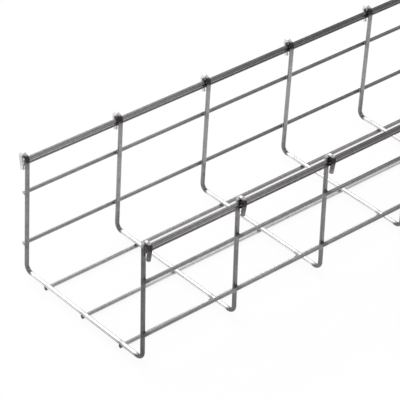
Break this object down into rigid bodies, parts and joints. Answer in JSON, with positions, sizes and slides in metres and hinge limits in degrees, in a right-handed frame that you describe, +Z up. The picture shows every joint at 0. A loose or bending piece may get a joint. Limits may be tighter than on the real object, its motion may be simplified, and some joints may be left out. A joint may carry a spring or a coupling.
{
  "type": "wire mesh cable basket",
  "caption": "Straight section of U-shaped welded steel wire mesh cable tray with outward-hooked rims over paired rim wires, open at the top and both ends.",
  "frame": {"origin": "centre of the underside of the floor line wires, at mid length and mid width", "axes": "+X across the basket, +Y along it, +Z up out of its open top"},
  "size_m": [0.1704, 2.004, 0.1255],
  "materials": {
    "line_wire": "bright zinc-plated drawn wire",
    "cross_wire": "bright zinc-plated drawn wire"
  },
  "bodies": {
    "root": {"floor_wire_left": "line_wire", "floor_wire_middle": "line_wire", "floor_wire_right": "line_wire", "left_lower_wall_wire": "line_wire", "left_upper_wall_wire": "line_wire", "left_lower_rim_wire": "line_wire", "left_upper_rim_wire": "line_wire", "right_lower_wall_wire": "line_wire", "right_upper_wall_wire": "line_wire", "right_lower_rim_wire": "line_wire", "right_upper_rim_wire": "line_wire", "cross_wire_01": "cross_wire", "cross_wire_02": "cross_wire", "cross_wire_03": "cross_wire", "cross_wire_04": "cross_wire", "cross_wire_05": "cross_wire", "cross_wire_06": "cross_wire", "cross_wire_07": "cross_wire", "cross_wire_08": "cross_wire", "cross_wire_09": "cross_wire", "cross_wire_10": "cross_wire", "cross_wire_11": "cross_wire", "cross_wire_12": "cross_wire", "cross_wire_13": "cross_wire", "cross_wire_14": "cross_wire", "cross_wire_15": "cross_wire", "cross_wire_16": "cross_wire", "cross_wire_17": "cross_wire", "cross_wire_18": "cross_wire", "cross_wire_19": "cross_wire", "cross_wire_20": "cross_wire", "cross_wire_21": "cross_wire"}
  },
  "joints": []
}
